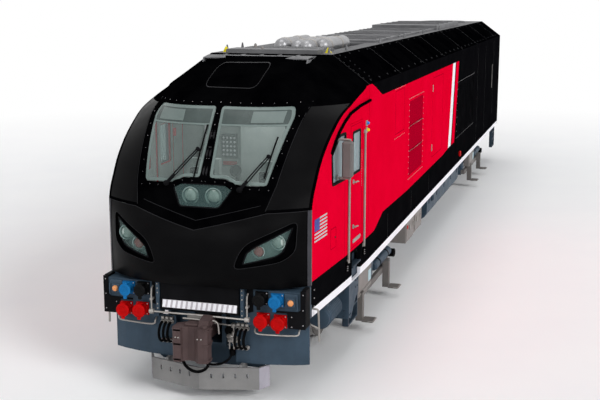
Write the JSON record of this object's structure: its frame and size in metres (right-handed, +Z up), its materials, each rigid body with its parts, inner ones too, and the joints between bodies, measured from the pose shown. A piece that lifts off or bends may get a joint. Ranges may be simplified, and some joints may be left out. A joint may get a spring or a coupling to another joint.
{
  "type": "diesel passenger locomotive",
  "caption": "Passenger diesel locomotive with a streamlined black nose, red cab sides, hinged cab doors, swivelling trucks, rolling wheelsets and swinging couplers.",
  "frame": {"origin": "under the middle of the locomotive, at the bottom of the wheel flanges", "axes": "+X forward to the cab's nose, +Y to the left side, +Z up"},
  "size_m": [22.28, 3.304, 4.458],
  "materials": {
    "red paint": "gloss",
    "black paint": "gloss",
    "slate paint": "satin",
    "grey paint": "satin",
    "deck paint": "matt",
    "grille paint": "satin",
    "bare steel": "brushed",
    "bright steel": "polished",
    "cast brown": "cast",
    "wheel steel": "machined",
    "clear glass": "clear",
    "teal housing": "gloss",
    "cab lining": "matt",
    "black rubber": "matt",
    "red plastic": "gloss",
    "blue plastic": "gloss",
    "black plastic": "matt"
  },
  "bodies": {
    "carbody": {"underframe": "slate paint", "pilot": "slate paint", "plow": "grey paint", "nose": "black paint", "cab_front": "black paint", "cab_side_left": "red paint", "cab_side_right": "red paint", "cab_glass": "clear glass", "cab_floor": "grey paint", "cab_bulkhead": "cab lining", "cab_interior": "cab lining", "body_side_left": "red paint", "body_side_right": "red paint", "side_grilles": "grille paint", "roof_slopes": "black paint", "roof_deck": "deck paint", "roof_hatches": "grey paint", "roof_fittings": "grey paint", "silencers": "bright steel", "rear_wall": "black paint", "engine_block": "grey paint", "lamp_housings": "teal housing", "lamp_covers": "clear glass", "wipers": "black plastic", "mirrors": "grey paint", "handrails": "bare steel", "apron": "black paint", "sockets_red": "red plastic", "sockets_blue": "blue plastic", "sockets_black": "black plastic", "hoses": "black rubber", "steps": "slate paint", "fuel_tank": "slate paint", "equipment_boxes": "grey paint"},
    "cab_door_left": {"cab_door_left": "red paint", "door_glass_left": "clear glass"},
    "cab_door_right": {"cab_door_right": "red paint", "door_glass_right": "clear glass"},
    "rear_door": {"rear_door": "black paint"},
    "fan_1": {"fan_1": "grey paint"},
    "fan_2": {"fan_2": "grey paint"},
    "truck_front": {"truck_front": "slate paint", "motors_front": "slate paint", "shoe_gear_front": "bare steel"},
    "truck_rear": {"truck_rear": "slate paint", "motors_rear": "slate paint", "shoe_gear_rear": "bare steel"},
    "wheelset_1": {"wheelset_1": "wheel steel"},
    "wheelset_2": {"wheelset_2": "wheel steel"},
    "wheelset_3": {"wheelset_3": "wheel steel"},
    "wheelset_4": {"wheelset_4": "wheel steel"},
    "coupler_front": {"coupler_front": "cast brown", "coupler_hose": "black rubber"},
    "coupler_rear": {"coupler_rear": "cast brown"}
  },
  "joints": [
    {"name": "truck_front_swivel", "type": "hinge", "parent": "carbody", "child": "truck_front", "pos_m": [6.48, 0, 0.8], "axis": [0, 0, 1], "range_deg": [-5, 5]},
    {"name": "truck_rear_swivel", "type": "hinge", "parent": "carbody", "child": "truck_rear", "pos_m": [-6.48, 0, 0.8], "axis": [0, 0, 1], "range_deg": [-5, 5]},
    {"name": "coupler_front_swing", "type": "hinge", "parent": "carbody", "child": "coupler_front", "pos_m": [10.15, 0, 0.88], "axis": [0, 0, 1], "range_deg": [-8, 8]},
    {"name": "coupler_rear_swing", "type": "hinge", "parent": "carbody", "child": "coupler_rear", "pos_m": [-10.15, 0, 0.88], "axis": [0, 0, 1], "range_deg": [-8, 8]},
    {"name": "cab_door_left_hinge", "type": "hinge", "parent": "carbody", "child": "cab_door_left", "pos_m": [8.156, 1.43391, 2.5], "axis": [0, 0, -1], "range_deg": [0, 85]},
    {"name": "cab_door_right_hinge", "type": "hinge", "parent": "carbody", "child": "cab_door_right", "pos_m": [8.156, -1.43391, 2.5], "axis": [0, 0, 1], "range_deg": [0, 85]},
    {"name": "rear_door_hinge", "type": "hinge", "parent": "carbody", "child": "rear_door", "pos_m": [-10.478, -0.384, 2.3], "axis": [0, 0, -1], "range_deg": [0, 85]},
    {"name": "fan_1_spin", "type": "hinge", "parent": "carbody", "child": "fan_1", "pos_m": [-7.50372, 0, 4.2], "axis": [0, 0, 1], "continuous": true},
    {"name": "fan_2_spin", "type": "hinge", "parent": "carbody", "child": "fan_2", "pos_m": [-8.89224, 0, 4.2], "axis": [0, 0, 1], "continuous": true},
    {"name": "wheelset_1_roll", "type": "hinge", "parent": "truck_front", "child": "wheelset_1", "pos_m": [7.88, 0, 0.587], "axis": [0, 1, 0], "continuous": true},
    {"name": "wheelset_2_roll", "type": "hinge", "parent": "truck_front", "child": "wheelset_2", "pos_m": [5.08, 0, 0.587], "axis": [0, 1, 0], "continuous": true},
    {"name": "wheelset_3_roll", "type": "hinge", "parent": "truck_rear", "child": "wheelset_3", "pos_m": [-5.08, 0, 0.587], "axis": [0, 1, 0], "continuous": true},
    {"name": "wheelset_4_roll", "type": "hinge", "parent": "truck_rear", "child": "wheelset_4", "pos_m": [-7.88, 0, 0.587], "axis": [0, 1, 0], "continuous": true}
  ]
}
